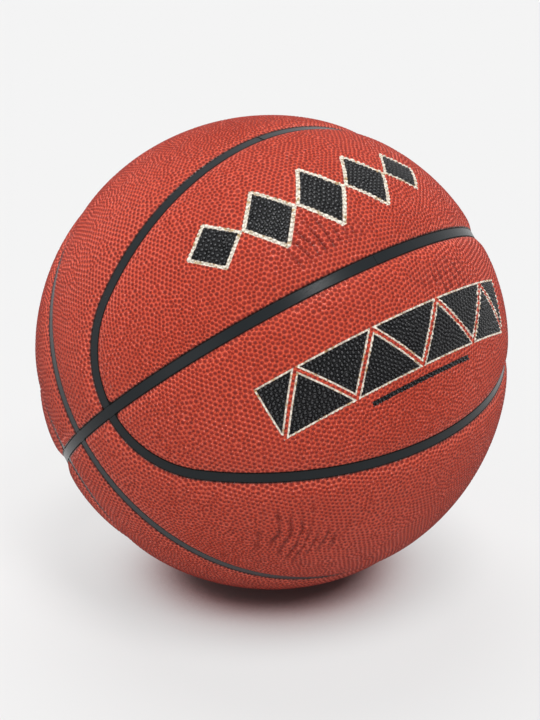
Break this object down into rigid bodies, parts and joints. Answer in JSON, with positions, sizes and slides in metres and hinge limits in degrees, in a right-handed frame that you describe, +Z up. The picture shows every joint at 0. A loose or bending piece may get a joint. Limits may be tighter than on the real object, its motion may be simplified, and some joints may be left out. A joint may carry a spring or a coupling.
{
  "type": "basketball",
  "caption": "Laminated basketball: pebbled cover panels between recessed rubber channel strips on a wound carcass, with an inflated bladder and a needle valve.",
  "frame": {"origin": "centre of the ball", "axes": "+Z up as the ball lies in the picture, +Y out along the valve, away from the picture's camera"},
  "size_m": [0.2418, 0.2419, 0.2419],
  "materials": {
    "cover": "pebbled satin",
    "channel": "satin",
    "sponge": "matte",
    "carcass": "matte",
    "winding": "matte",
    "bladder": "satin",
    "valve": "matte"
  },
  "bodies": {
    "ball": {"band_panel_back_lower": "cover", "band_panel_back_upper": "cover", "band_panel_front_lower": "cover", "band_panel_front_upper": "cover", "band_sponge_back_lower": "sponge", "band_sponge_back_upper": "sponge", "band_sponge_front_lower": "sponge", "band_sponge_front_upper": "sponge", "bladder": "bladder", "carcass": "carcass", "cross_strip_lower": "channel", "cross_strip_upper": "channel", "long_strip_left": "channel", "long_strip_right": "channel", "oval_panel_back_lower": "cover", "oval_panel_back_upper": "cover", "oval_panel_front_lower": "cover", "oval_panel_front_upper": "cover", "oval_sponge_back_lower": "sponge", "oval_sponge_back_upper": "sponge", "oval_sponge_front_lower": "sponge", "oval_sponge_front_upper": "sponge", "oval_strip_back_lower": "channel", "oval_strip_back_upper_left": "channel", "oval_strip_back_upper_right": "channel", "oval_strip_front_lower": "channel", "oval_strip_front_upper_left": "channel", "oval_strip_front_upper_right": "channel", "thread_winding": "winding", "valve_housing": "valve"},
    "plug": {"valve_plug": "valve"}
  },
  "joints": [
    {"name": "plug_pull", "type": "slide", "parent": "ball", "child": "plug", "axis": [0, 1, 0], "range_m": [0, 0.03]}
  ]
}
